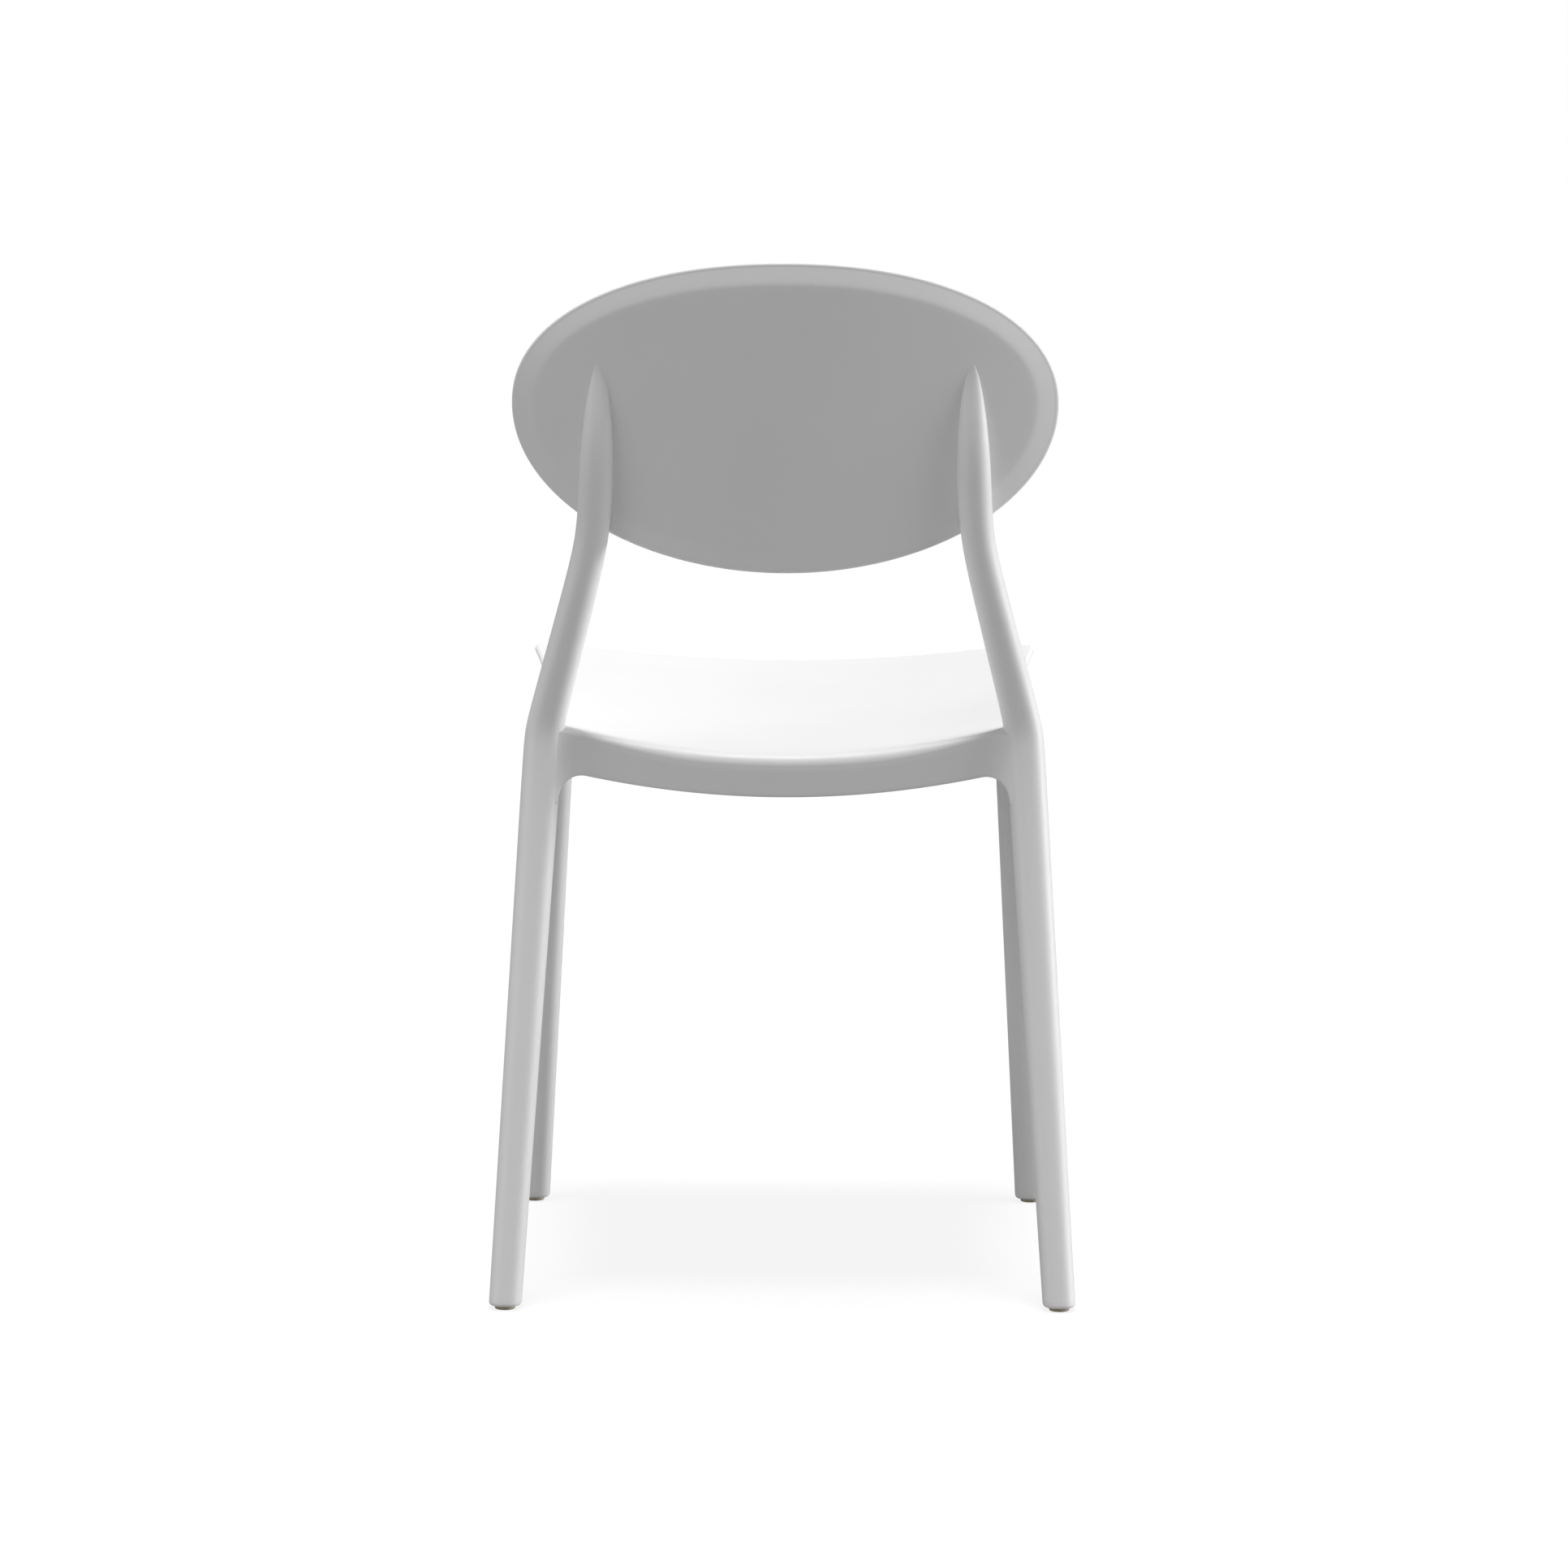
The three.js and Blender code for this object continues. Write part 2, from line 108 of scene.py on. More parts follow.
# Angles round a leg's section between which the apron's sweep can touch it, and how many times the
# range is halved to find the place
TOUCH_LOWEST = 0.15
TOUCH_HIGHEST = math.pi / 2 - 0.1
HALVINGS = 24

# Ribs under the seat
RIB_HALF_THICKNESS = 1.6 * MM
RIB_DEPTH = 16 * MM
RIB_SINK = 1.5 * MM
RIB_SIDE_POWER = 0.3
RIB_EDGE_POWER = 0.25
RIB_ROOT_TAPER = 1.25
RIB_FOOT_TAPER = 0.85

# Back panel
BACK_BOX_LOW, BACK_BOX_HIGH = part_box("backrest_panel")
BACK_HALF_WIDTH = BACK_BOX_HIGH.x
BACK_UPPER = 112 * MM
BACK_LOWER = BACK_BOX_HIGH.z - BACK_BOX_LOW.z - BACK_UPPER
BACK_WIDEST_Z = BACK_BOX_HIGH.z - BACK_UPPER
BACK_LEAN = 0.2
BACK_CURVE_RADIUS = 640 * MM
BACK_SETBACK = 50 * MM
BACK_THICKNESS = 7 * MM
UPPER_OVAL_POWER = 2.15
RIM_WIDTH = 17 * MM
RIM_DROP = 4.5 * MM
RIM_SOFTNESS = 2.2 * MM
EDGE_ROUND = 2.6 * MM

# Rear uprights and front legs
FOOT_Z = low("rear_leg_left").z
FOOT_ROUND = 2.5 * MM
KNEE_Z = high("rear_leg_left").z
KNEE_INSET = 8 * MM
KNEE_DIAMETER = 30.5 * MM
REAR_FOOT_DIAMETER = 25.6 * MM
REAR_LEG_SPLAY = 29 * MM
NECK_X = 147.5 * MM
NECK_DROP = 102 * MM
NECK_DIAMETER = 26.2 * MM
POST_STANDOFF = 3 * MM
TIP_RISE = 35 * MM
TIP_LENGTH = 100 * MM
TIP_NARROWING = 4 * MM
TIP_SINK = 0.8 * MM
TIP_FULLNESS = 0.6
KNEE_SOFTNESS = 11 * MM
NECK_SOFTNESS = 24 * MM
POST_FILLET = 0.4 * MM
POST_FOOT_FILLET = 3 * MM
POST_FRONT_RELIEF = 12 * MM
TIP_FADE = 1.15
FILLET_GROWTH = 40 * MM
FOOT_FADE_REAR_FROM = ROLL_REAR - 4 * MM
FOOT_FADE_REAR_TO = ROLL_REAR + 6 * MM
FOOT_FADE_SIDE = 8 * MM
RELIEF_FROM = 34 * MM
RELIEF_TO = 4 * MM
INSIDE_PANEL = 0.3 * MM
FRONT_CUT_FROM = 60 * MM
LEG_DEPTH_RATIO = 1.1
LEG_SQUARENESS = 2.4
POST_SQUARENESS = 2.05
FRONT_LEG_DIAMETER = 29 * MM
FRONT_FOOT_DIAMETER = 25 * MM
FRONT_LEG_SPLAY = 23 * MM
FRONT_LEG_RAKE = 8 * MM

# Glides
GLIDE_RADIUS = (high("glide_rear_left").x - low("glide_rear_left").x) / 2
GLIDE_THICKNESS = 3 * MM
GLIDE_ROUND = 1 * MM
GLIDE_TOP_ROUND = 0.4 * MM
GROOVE_INNER = 4 * MM
GROOVE_OUTER = 5.6 * MM
GROOVE_DEPTH = 0.35 * MM
STEM_RADIUS = 5 * MM
STEM_CHAMFER = 1 * MM
AXIS_RADIUS = 0.3 * MM

# Fineness: points round a ring, and rings or levels along a stretch
AROUND_SEAT = 760
AROUND_PANEL = 480
AROUND_LEG = 128
AROUND_RIB = 32
AROUND_GLIDE = 64
MIDDLE_SHARE = 0.02
QUARTER_STEPS = 13
SEAT_TOP_RINGS = 60
UNDERCUT_RINGS = 13
APRON_RINGS = 20
APRON_INNER_RINGS = 14
SEAT_UNDER_RINGS = 26
STRAIGHT_POINTS = 100
SIDE_POINTS = 200
REAR_CORNER_POINTS = 24
FRONT_CORNER_POINTS = 60
LEG_CROWDING = 3
NORMAL_REACH = 2
FACE_RINGS = 24
RIM_RINGS = 30
FRONT_RIM_RINGS = 12
PANEL_EDGE_RINGS = 15
FOOT_EDGE_LEVELS = 8
REAR_LEVELS = 150
POST_FOOT_LEVELS = 90
TIP_LEVELS = 60
FRONT_LEVELS = 120
RIB_STEPS = 60
GLIDE_QUARTER_STEPS = 9
GROOVE_STEPS = 17
TINY = 1e-9

# Plastic: how each mark changes its tone, its roughness and its height
EDGE_SHARPNESS = 0.54
SCRATCH_SCALE = 30
GRAIN_STRENGTH = 0.35
PLASTIC_IOR = 1.49
WEAR_TONE = 0.3
SMUDGE_TONE = -0.25
WEAR_ROUGHNESS = -0.1
SMUDGE_ROUGHNESS = 0.05
SCRATCH_ROUGHNESS = 0.12
SCRATCH_HEIGHT = -0.5

# Stage
FLOOR_SIZE = 60
FLOOR_TONE = (0.92, 0.92, 0.92, 1)
FLOOR_GLOW_SHARE = 0.86
FLOOR_BOUNCE = (0.305, 0.298, 0.293, 1)
WHITE = (1, 1, 1, 1)
SKY_CAST = (0.96, 0.98, 1, 1)
SKY_CAST_STRENGTH = 0.26
CAMERA_PLACE = (0, 5.089, 1.0226)
CAMERA_DOWN = 7.116
CAMERA_ROLL = 0.2056
CAMERA_LENS = 144.84
CAMERA_SENSOR = 36
CAMERA_REACH = 100


# ---- Shared curves ----

def bend(distance, softness):
    """Zero well below a corner and rising one for one well above it, rounded between."""
    return (distance + np.hypot(distance, softness)) / 2


def smooth(value, start, end):
    """Eased share of the way from start to end, held at 0 and 1 outside them."""
    share = np.clip((value - start) / (end - start), 0, 1)
    return share * share * (3 - 2 * share)


def mix(start, end, share):
    """The value a share of the way from start to end."""
    return start + (end - start) * share


def signed_power(value, power):
    """The size of value raised to power, with value's own sign."""
    return np.sign(value) * np.abs(value) ** power


def centreline(z, corners):
    """x and y at each height of a path through corner points, its corners rounded: a straight line
    plus, above each inner corner, the change of slope times a ramp with that corner's softness."""
    corners = np.array(corners)
    slopes = np.diff(corners[:, :2], axis=0) / np.diff(corners[:, 2])[:, None]
    place = corners[0, :2] + slopes[0] * (z - corners[0, 2])[:, None]
    changes = np.diff(slopes, axis=0)
    for corner, change, softness in zip(corners[1:-1], changes, (KNEE_SOFTNESS, NECK_SOFTNESS)):
        place = place + change * bend(z - corner[2], softness)[:, None]
    return place


def closed_surface(name, rings):
    """A closed mesh from rings of points, shaped (ring, place round it, xyz). Each ring is joined to
    the next by squares, and the first and last rings are each closed by a fan to their middle."""
    count, around, _ = rings.shape
    first = rings[0].mean(axis=0)
    last = rings[-1].mean(axis=0)
    points = np.concatenate([rings.reshape(-1, 3), [first, last]])
    index = np.arange(count * around).reshape(count, around)
    ahead = np.roll(index, -1, axis=1)
    squares = np.stack([index[:-1], ahead[:-1], ahead[1:], index[1:]], axis=-1).reshape(-1, 4)
    start = np.stack([ahead[0], index[0], np.full(around, count * around)], axis=-1)
    end = np.stack([index[-1], ahead[-1], np.full(around, count * around + 1)], axis=-1)
    corners = points[squares]
    across = np.cross(corners[:, 2] - corners[:, 0], corners[:, 3] - corners[:, 1])
    if np.einsum("ij,ij->", corners.mean(axis=1) - points.mean(axis=0), across) < 0:
        squares, start, end = squares[:, ::-1], start[:, ::-1], end[:, ::-1]
    mesh = bpy.data.meshes.new(name)
    mesh.from_pydata(points.tolist(), [], squares.tolist() + start.tolist() + end.tolist())
    mesh.polygons.foreach_set("use_smooth", np.ones(len(mesh.polygons), dtype=bool))
    mesh.update()
    piece = bpy.data.objects.new(name, mesh)
    bpy.context.scene.collection.objects.link(piece)
    return piece


# ---- Seat surface ----

def seat_half_width(y):
    """Half the seat's width: the rear width plus a share of the flare that grows as the cube of the
    way forward."""
    share = (SEAT_REAR_Y - y) / SEAT_DEPTH
    return mix(SEAT_WIDTH_REAR, SEAT_WIDTH_FRONT, signed_power(share, SEAT_FLARE)) / 2


def seat_top(x, y):
    """Height of the seat: a rising centreline less a parabola that is the hollow's full depth half
    way, plus a dish that grows as the square of the distance from the centreline."""
    share = (SEAT_REAR_Y - y) / SEAT_DEPTH
    rise = SEAT_RISE * share - 4 * SEAT_HOLLOW * share * (1 - share)
    dish = mix(SEAT_DISH_REAR, SEAT_DISH_FRONT, share)
    return SEAT_HEIGHT_REAR + rise + dish * (x / seat_half_width(y)) ** 2


# ---- Back surface ----

def back_middle(x, z):
    """y of the middle of the panel's thickness: a lean plus a parabola across the width."""
    lean = BACK_LEAN * (z - BACK_WIDEST_Z)
    return SEAT_REAR_Y + BACK_SETBACK + lean - x ** 2 / (2 * BACK_CURVE_RADIUS)


def rim_fall(inset):
    """How far the rear face has fallen forward at a distance in from the outline: a straight bevel
    over the rim's width, rounded into the face."""
    return RIM_DROP / RIM_WIDTH * bend(RIM_WIDTH - inset, RIM_SOFTNESS)


def oval(turn, inset):
    """x and height above the widest line of the outline brought in by inset: an ellipse below and a
    slightly squarer oval above."""
    upper = np.sin(turn) > 0
    power = np.where(upper, 2 / UPPER_OVAL_POWER, 1)
    half_height = np.where(upper, BACK_UPPER, BACK_LOWER) - inset
    x = (BACK_HALF_WIDTH - inset) * signed_power(np.cos(turn), power)
    return x, half_height * signed_power(np.sin(turn), power)


# ---- Uprights ----

def rear_corners(side):
    """Corner points of a rear upright's centreline: foot, knee, neck and tip."""
    foot = middle("glide_rear_left")
    knee_x = foot.x - REAR_LEG_SPLAY
    neck_z = BACK_WIDEST_Z - NECK_DROP
    tip_x = NECK_X - TIP_NARROWING
    tip_z = BACK_WIDEST_Z + TIP_RISE
    rear_face = BACK_THICKNESS / 2
    return [
        (side * foot.x, foot.y, 0),
        (side * knee_x, SEAT_REAR_Y - KNEE_INSET, KNEE_Z),
        (side * NECK_X, back_middle(NECK_X, neck_z) + rear_face + POST_STANDOFF, neck_z),
        (side * tip_x, back_middle(tip_x, tip_z) + rear_face - TIP_SINK, tip_z),
    ]


def rear_half_width(z, tip_power):
    """Half the width of a rear upright: growing to the knee, shrinking to the neck, and drawn to a
    point over the tip's length, blunter for a smaller tip power."""
    neck_z = BACK_WIDEST_Z - NECK_DROP
    tip_z = BACK_WIDEST_Z + TIP_RISE
    leg = mix(REAR_FOOT_DIAMETER, KNEE_DIAMETER, z / KNEE_Z)
    post = mix(KNEE_DIAMETER, NECK_DIAMETER, np.clip((z - KNEE_Z) / (neck_z - KNEE_Z), 0, 1))
    rise = np.clip((z - tip_z + TIP_LENGTH) / TIP_LENGTH, 0, 1)
    return np.where(z < KNEE_Z, leg, post) / 2 * (1 - rise ** 2) ** tip_power


def foot_heights(top, count):
    """Heights from a foot up to top: close together round the foot's rounded edge, then even."""
    quarter = np.linspace(0, math.pi / 2, FOOT_EDGE_LEVELS)
    edge = FOOT_Z + FOOT_ROUND * (1 - np.cos(quarter))
    return np.concatenate([edge, np.linspace(FOOT_Z + FOOT_ROUND, top, count)[1:]])


def foot_inset(z):
    """How far a foot's side is drawn in by its rounded lower edge: a quarter circle."""
    below = np.clip(1 - (z - FOOT_Z) / FOOT_ROUND, 0, 1)
    return FOOT_ROUND * (1 - np.sqrt(1 - below ** 2))


def level_slices(z, centre, half_width, half_depth, squareness):
    """Rings of a superellipse at each height, squarer for a larger squareness."""
    turn = np.linspace(0, 2 * math.pi, AROUND_LEG, endpoint=False)
    power = 2 / np.broadcast_to(squareness, z.shape)[:, None]
    x = centre[:, :1] + half_width[:, None] * signed_power(np.cos(turn), power)
    y = centre[:, 1:] + half_depth[:, None] * signed_power(np.sin(turn), power)
    return np.stack([x, y, np.broadcast_to(z[:, None], x.shape)], axis=-1)


def quarter_fillet(gap, radius):
    """How far a surface is carried out by a concave quarter circle at a gap from its neighbour."""
    closeness = np.clip(1 - gap / np.maximum(radius, TINY), 0, 1)
    return radius * (1 - np.sqrt(1 - closeness ** 2))


def upright_heights():
    """Heights of a rear upright's slices: even up to the tip's start, closer together where the post
    meets the seat, and closer and closer together towards the tip."""
    tip_z = BACK_WIDEST_Z + TIP_RISE
    lower = foot_heights(tip_z - TIP_LENGTH, REAR_LEVELS)
    seat_meeting = SEAT_HEIGHT_REAR + SEAT_DISH_REAR + 3 * POST_FOOT_FILLET
    seat_levels = np.linspace(SEAT_HEIGHT_REAR, seat_meeting, POST_FOOT_LEVELS)
    quarter = np.linspace(0, math.pi / 2, TIP_LEVELS)
    tip = tip_z - TIP_LENGTH * (1 - np.sin(quarter))[1:-1]
    return np.unique(np.concatenate([lower, seat_levels, tip]))


def panel_bottom(x):
    """Height of the panel's lower outline at a distance from the middle: half an ellipse."""
    return BACK_WIDEST_Z - BACK_LOWER * np.sqrt(np.clip(1 - (x / BACK_HALF_WIDTH) ** 2, 0, 1))


def panel_fillet(y, height, panel, lowest, half):
    """How far a post's flank spreads where it leaves the panel's rear face: a concave quarter
    circle, smaller as the post narrows, and growing from nothing above the panel's lower edge."""
    size = POST_FILLET * np.minimum(half * 2 / NECK_DIAMETER, 1)[:, None]
    above_panel = np.maximum(y - panel - BACK_THICKNESS / 2, 0)
    spread = quarter_fillet(above_panel, np.broadcast_to(size, y.shape))
    return spread * smooth(height, lowest, lowest + FILLET_GROWTH)


def seat_fillet(x, y, height):
    """How far a post spreads at its foot on the seat: a concave quarter circle, fading away towards
    the seat's rear and side edges."""
    above_seat = np.maximum(height - seat_top(x, y), 0)
    over_rear = smooth(SEAT_REAR_Y - y, FOOT_FADE_REAR_FROM, FOOT_FADE_REAR_TO)
    over_side = smooth(seat_half_width(y) - np.abs(x), 0, FOOT_FADE_SIDE)
    return quarter_fillet(above_seat, POST_FOOT_FILLET) * over_rear * over_side


def rear_upright(side, name):
    """One rear leg and back post: level slices along the bent centreline. Its flanks spread in a
    small fillet where they meet the panel, and so does its foot on the seat. Its front is cut back
    to lie inside the panel, and grows forward again below."""
    z = upright_heights()
    centre = centreline(z, rear_corners(side))
    half = rear_half_width(z, TIP_FULLNESS)
    half_depth = rear_half_width(z, TIP_FADE) * LEG_DEPTH_RATIO
    rounding = smooth(z, KNEE_Z, BACK_WIDEST_Z - NECK_DROP)
    squareness = mix(LEG_SQUARENESS, POST_SQUARENESS, rounding)
    rings = level_slices(z, centre, half - foot_inset(z), half_depth - foot_inset(z), squareness)
    x, y, height = rings[..., 0], rings[..., 1], rings[..., 2]
    outward = rings[..., :2] - centre[:, None]
    outward = outward / np.maximum(np.linalg.norm(outward, axis=-1, keepdims=True), TINY)
    lowest = panel_bottom(x)
    panel = back_middle(x, height)
    spread = panel_fillet(y, height, panel, lowest, half) * np.abs(outward[..., 0])
    foot = seat_fillet(x, y, height)
    relief = POST_FRONT_RELIEF * (1 - smooth(height, lowest - RELIEF_FROM, lowest + RELIEF_TO))
    front_limit = panel - BACK_THICKNESS / 2 + INSIDE_PANEL - relief
    near_panel = height > lowest - FRONT_CUT_FROM
    rings[..., :2] += outward * foot[..., None]
    rings[..., 0] += spread * np.sign(outward[..., 0])
    rings[..., 1] = np.where(near_panel, np.maximum(rings[..., 1], front_limit), rings[..., 1])
    return closed_surface(name, rings)


def front_leg(side, name):
    """One front leg: level slices along a straight line up to just under the seat's surface."""
    foot = middle("glide_front_left")
    top_x = foot.x - FRONT_LEG_SPLAY
    top_y = foot.y + FRONT_LEG_RAKE
    top_z = float(seat_top(top_x, top_y)) - SEAT_THICKNESS / 2
    z = foot_heights(top_z, FRONT_LEVELS)
    centre = centreline(z, [(side * foot.x, foot.y, 0), (side * top_x, top_y, top_z)])
    half = mix(FRONT_FOOT_DIAMETER, FRONT_LEG_DIAMETER, z / top_z) / 2
    depth = half * LEG_DEPTH_RATIO
    inset = foot_inset(z)
    rings = level_slices(z, centre, half - inset, depth - inset, LEG_SQUARENESS)
    return closed_surface(name, rings)


# ---- Seat and apron ----

def seat_outline(count):
    """The seat's outline from above: a straight rear edge, curved sides, front and rear corners
    rounded, and a straight front edge. Its points lie closer together near the legs."""
    corner_y = SEAT_REAR_Y - SEAT_DEPTH + SEAT_CORNER
    front_y = SEAT_REAR_Y - SEAT_DEPTH
    rear_x = np.linspace(0, SEAT_WIDTH_REAR / 2 - SEAT_REAR_CORNER, STRAIGHT_POINTS)
    rear = np.stack([rear_x, np.full_like(rear_x, SEAT_REAR_Y)], axis=-1)
    turn = np.linspace(0, math.pi / 2, REAR_CORNER_POINTS)[:, None]
    turned = np.concatenate([np.sin(turn), np.cos(turn) - 1], axis=1)
    rear_corner = rear[-1] + SEAT_REAR_CORNER * turned
    side_y = np.linspace(SEAT_REAR_Y - SEAT_REAR_CORNER, corner_y, SIDE_POINTS)
    side = np.stack([seat_half_width(side_y), side_y], axis=-1)
    share = np.linspace(0, 1, FRONT_CORNER_POINTS)[:, None]
    corner_tip = np.array([SEAT_WIDTH_FRONT / 2, front_y])
    start, end = side[-1], corner_tip - np.array([SEAT_CORNER, 0])
    corner = (1 - share) ** 2 * start + 2 * share * (1 - share) * corner_tip + share ** 2 * end
    front_x = np.linspace(end[0], 0, STRAIGHT_POINTS)
    front = np.stack([front_x, np.full_like(front_x, front_y)], axis=-1)
    half = np.concatenate([rear[:-1], rear_corner[:-1], side[:-1], corner[:-1], front])
    other = half[-2:0:-1] * np.array([-1, 1])
    path = np.concatenate([half, other, half[:1]])
    steps = np.linalg.norm(np.diff(path, axis=0), axis=1)
    middles = (path[1:] + path[:-1]) / 2
    closeness = np.clip(1 - leg_gap(middles) / FLARE_REACH, 0, 1)
    travelled = np.concatenate([[0], np.cumsum(steps * (1 + LEG_CROWDING * closeness))])
    along = np.linspace(0, travelled[-1], count, endpoint=False)
    return np.stack([np.interp(along, travelled, path[:, axis]) for axis in range(2)], axis=-1)


def inward_normals(outline):
    """Unit normals that point into a closed outline, smoothed a little round its corners."""
    along = np.roll(outline, -NORMAL_REACH, axis=0) - np.roll(outline, NORMAL_REACH, axis=0)
    normal = np.stack([-along[:, 1], along[:, 0]], axis=-1)
    normal = normal / np.linalg.norm(normal, axis=1)[:, None]
    towards = np.einsum("ij,ij->", normal, outline.mean(axis=0) - outline)
    return normal * np.sign(towards)


def leg_places(z):
    """Centre, half width and half depth of each of the four legs at each height."""
    foot = middle("glide_front_left")
    top_z = float(seat_top(foot.x - FRONT_LEG_SPLAY, foot.y + FRONT_LEG_RAKE))
    places = []
    for side in (1, -1):
        rear = rear_half_width(z, TIP_FULLNESS)
        places.append((centreline(z, rear_corners(side)), rear, rear * LEG_DEPTH_RATIO))
        share = z / top_z
        x = side * (foot.x - FRONT_LEG_SPLAY * share)
        y = foot.y + FRONT_LEG_RAKE * share
        front = mix(FRONT_FOOT_DIAMETER, FRONT_LEG_DIAMETER, share) / 2
        places.append((np.stack([x, y], axis=-1), front, front * LEG_DEPTH_RATIO))
    return places


def leg_gap(outline):
    """Distance of each outline point from the nearest leg's side, where the apron arches down."""
    height = np.full(len(outline), ARCH_FOOT_Z)
    gaps = [np.linalg.norm(outline - place, axis=1) - half for place, half, _ in leg_places(height)]
    return np.maximum(np.min(gaps, axis=0), 0)


def flare_to_legs(points, outward, weight):
    """Carries an apron face out to each leg in a concave sweep, ending a little under its surface.
    The shift along the face's outward direction grows as a power of the way to the point of the
    leg's section where the sweep is tangent to it, found by halving the range of angles round the
    section."""
    total = np.zeros(points.shape[:-1])
    power = 2 / LEG_SQUARENESS
    for place, half_width, half_depth in leg_places(points[..., 2].ravel()):
        shape = points.shape[:-1]
        away = points[..., :2] - place.reshape(shape + (2,))
        across, along = np.abs(outward[:, 0]), np.abs(outward[:, 1])
        reach_out = across * half_width.reshape(shape) + along * half_depth.reshape(shape) - FLARE_SINK
        reach_by = along * half_width.reshape(shape) + across * half_depth.reshape(shape)
        out = away[..., 0] * outward[:, 0] + away[..., 1] * outward[:, 1]
        by = np.abs(away[..., 0] * outward[:, 1] - away[..., 1] * outward[:, 0])
        low_angle = np.full(shape, TOUCH_LOWEST)
        high_angle = np.full(shape, TOUCH_HIGHEST)
        for _ in range(HALVINGS):
            angle = (low_angle + high_angle) / 2
            rise = reach_out * np.sin(angle) ** power - out
            wanted = FLARE_POWER * rise / FLARE_REACH
            slope = reach_out / reach_by / np.tan(angle) ** (2 - power)
            low_angle = np.where(wanted < slope, angle, low_angle)
            high_angle = np.where(wanted < slope, high_angle, angle)
        rise = np.maximum(reach_out * np.sin(angle) ** power - out, 0)
        contact = reach_by * np.cos(angle) ** power
        share = np.clip(1 - (by - contact) / FLARE_REACH, 0, 1)
        near = out > -reach_out
        total = np.maximum(total, np.where(near, rise * share ** FLARE_POWER, 0))
    points[..., :2] += (total * weight)[..., None] * outward
    return points


def seat_tub(name):
    """Seat and apron as one skin. Each ring runs round the outline; from ring to ring the profile
    goes over the top, round the rolled edge, down the apron, round its lip, up inside and back
    under the seat. Roll, inset and depth change smoothly from the rear to the sides and front."""
    outline = seat_outline(AROUND_SEAT)
    inward = inward_normals(outline)
    middle_point = np.array([0, SEAT_REAR_Y - SEAT_DEPTH / 2])
    rearness = smooth(inward[:, 1], -FACING_FROM, -FACING_TO)
    frontness = smooth(inward[:, 1], FACING_FROM, FACING_TO)
    inset_from = SEAT_REAR_Y - INSET_FROM * SEAT_DEPTH
    inset_to = SEAT_REAR_Y - INSET_TO * SEAT_DEPTH
    forward = smooth(outline[:, 1], inset_from, inset_to)
    rear_roll = mix(ROLL_AT_POSTS, ROLL_REAR, smooth(leg_gap(outline), 0, ROLL_FADE))
    roll = mix(mix(ROLL_SIDE, ROLL_FRONT, frontness), rear_roll, rearness)
    inset = mix(mix(APRON_INSET_SIDE, APRON_INSET_CORNER, forward), APRON_INSET_FRONT, frontness)
    inset = mix(inset, 0, rearness)
    gap = leg_gap(outline + inward * inset[:, None])
    depth = APRON_DEPTH + ARCH_FALL / ARCH_REACH * quarter_fillet(gap, ARCH_REACH)
    half_wall = APRON_WALL / 2
    quarter = np.linspace(0, math.pi / 2, QUARTER_STEPS)[1:]
    rings, weights = [], []

    def add_ring(distance, drop, weight=0, share=1):
        """The outline brought in by distance and drawn towards the middle to share, drop below the
        seat's top. Weight is how much of the flare to the legs it takes."""
        edge = outline + inward * np.broadcast_to(distance, len(outline))[:, None]
        place = middle_point + (edge - middle_point) * share
        z = seat_top(place[:, 0], place[:, 1]) - drop
        rings.append(np.concatenate([place, z[:, None]], axis=1))
        weights.append(weight)

    for angle in np.linspace(MIDDLE_SHARE, math.pi / 2, SEAT_TOP_RINGS):
        add_ring(roll, 0, share=math.sin(angle))
    for angle in quarter:
        add_ring(roll * (1 - math.sin(angle)), roll * (1 - math.cos(angle)), 1 - math.cos(angle))
    under = np.minimum(NOSE_UNDERCUT, depth - roll - half_wall)
    for share in np.linspace(0, 1, UNDERCUT_RINGS)[1:]:
        add_ring(inset * smooth(share, 0, 1), roll + under * share, 1)
    for share in np.linspace(0, 1, APRON_RINGS)[1:]:
        add_ring(inset + APRON_DRAFT * share, mix(roll + under, depth - half_wall, share), 1)
    for angle in np.linspace(0, math.pi, QUARTER_STEPS)[1:]:
        distance = inset + APRON_DRAFT + half_wall * (1 - math.cos(angle))
        drop = depth - half_wall * (1 - math.sin(angle))
        add_ring(distance, drop, (1 + math.cos(angle)) / 2)
    inner = inset + APRON_DRAFT + APRON_WALL
    ceiling = SEAT_THICKNESS + UNDERSIDE_FILLET
    for share in np.linspace(0, 1, APRON_INNER_RINGS)[1:]:
        add_ring(inner, mix(depth - half_wall, ceiling, share))
    for angle in quarter:
        drop = ceiling - UNDERSIDE_FILLET * math.sin(angle)
        add_ring(inner + UNDERSIDE_FILLET * (1 - math.cos(angle)), drop)
    for share in np.linspace(1, MIDDLE_SHARE, SEAT_UNDER_RINGS)[1:]:
        add_ring(inner + UNDERSIDE_FILLET, SEAT_THICKNESS, share=share)
    weight = np.array(weights)[:, None]
    return closed_surface(name, flare_to_legs(np.array(rings), -inward, weight))


